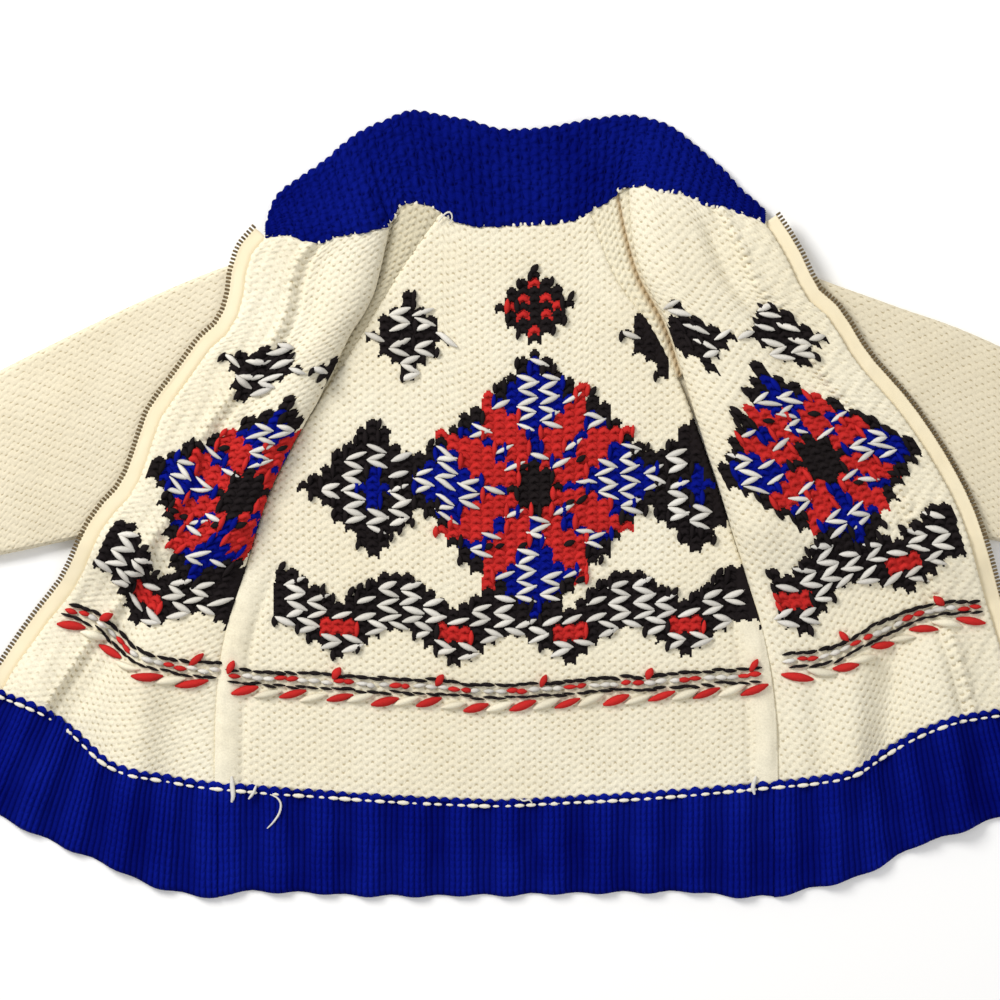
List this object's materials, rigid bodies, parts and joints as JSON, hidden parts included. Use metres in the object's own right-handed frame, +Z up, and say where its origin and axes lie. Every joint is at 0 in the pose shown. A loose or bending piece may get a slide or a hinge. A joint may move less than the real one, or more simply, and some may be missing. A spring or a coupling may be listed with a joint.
{
  "type": "zip cardigan",
  "caption": "Child's chunky hand-knit zip cardigan with raglan sleeves, a deep ridged collar and ribbed hem and cuffs, laid out open and inside up.",
  "frame": {"origin": "on the table below the middle of the garment's box", "axes": "+X to the right as seen from above, +Y from the hem towards the collar, +Z up from the table"},
  "size_m": [0.9248, 0.511, 0.0196],
  "materials": {
    "cream_knit": "thick, softly twisted wool, matt with a faint halo of loose fibres",
    "blue_knit": "thick royal blue wool, matt",
    "zip_tape": "smooth woven cotton, matt",
    "brass": "worn, satin"
  },
  "bodies": {
    "cardigan": {"back": "cream_knit", "front_left": "cream_knit", "front_right": "cream_knit", "sleeve_left": "cream_knit", "sleeve_right": "cream_knit", "collar": "blue_knit", "hem_back": "blue_knit", "hem_front_left": "blue_knit", "hem_front_right": "blue_knit", "cuff_left": "blue_knit", "cuff_right": "blue_knit", "zip_tape_left": "zip_tape", "zip_tape_right": "zip_tape", "zip_teeth_left": "brass", "zip_teeth_right": "brass", "zip_slider": "brass", "zip_retainer_box": "brass", "zip_insertion_pin": "brass"},
    "pull_tab": {"zip_pull_tab": "brass"}
  },
  "joints": [
    {"name": "pull_tab_hinge", "type": "hinge", "parent": "cardigan", "child": "pull_tab", "pos_m": [0.3623, -0.17733, 0.0059], "axis": [0.9621, 0.2727, 0], "range_deg": [0, 180]}
  ]
}
